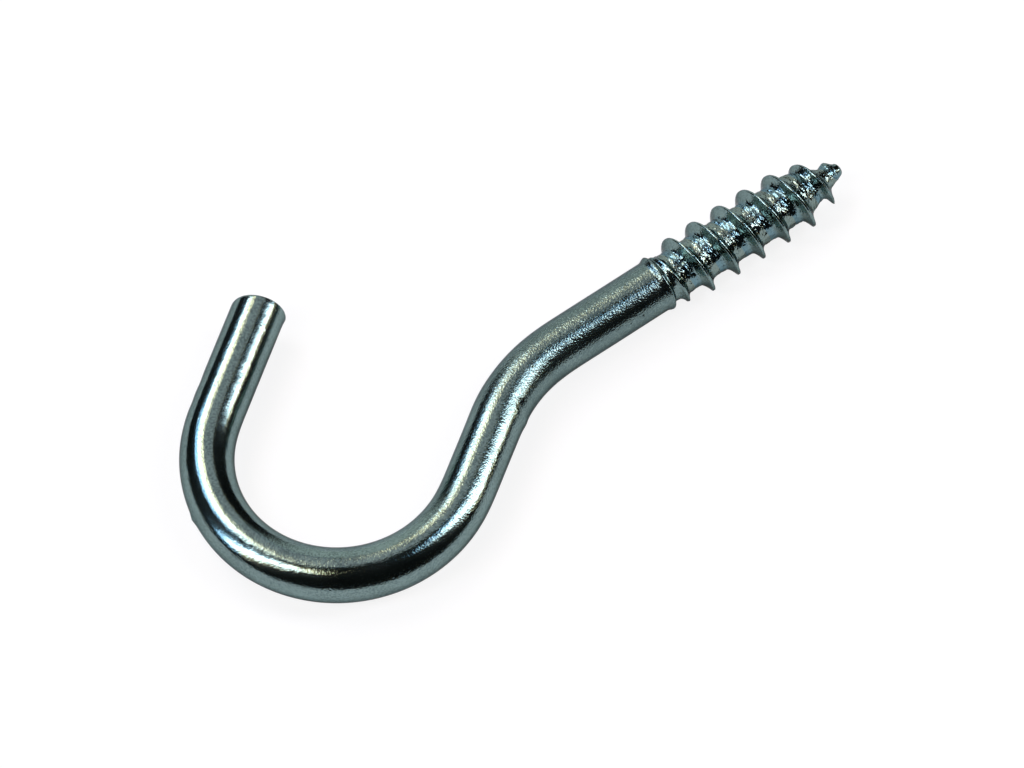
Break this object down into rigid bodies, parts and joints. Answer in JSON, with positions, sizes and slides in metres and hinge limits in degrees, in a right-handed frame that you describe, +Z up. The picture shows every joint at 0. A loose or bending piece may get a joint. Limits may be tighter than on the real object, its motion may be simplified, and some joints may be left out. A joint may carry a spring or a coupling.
{
  "type": "screw hook",
  "caption": "Open wire hook with a plain shank and a coarse right-hand wood-screw thread with a tapered, blunt-tipped point, in bright zinc plate.",
  "frame": {"origin": "on the screw's axis, where the plain shank ends and the thread starts", "axes": "+X along the screw's axis to the tip; the hook is bent in the XY plane and lies on its side, with +Z up; the free end is on the +Y side"},
  "size_m": [0.0517, 0.0251, 0.0048],
  "materials": {
    "zinc_plated_steel": "bright zinc plate with a thin blue passivation, drawn-wire sheen and fine grain on the shank, crumpled and sparkling between the teeth"
  },
  "bodies": {
    "root": {"screw_hook": "zinc_plated_steel"}
  },
  "joints": []
}
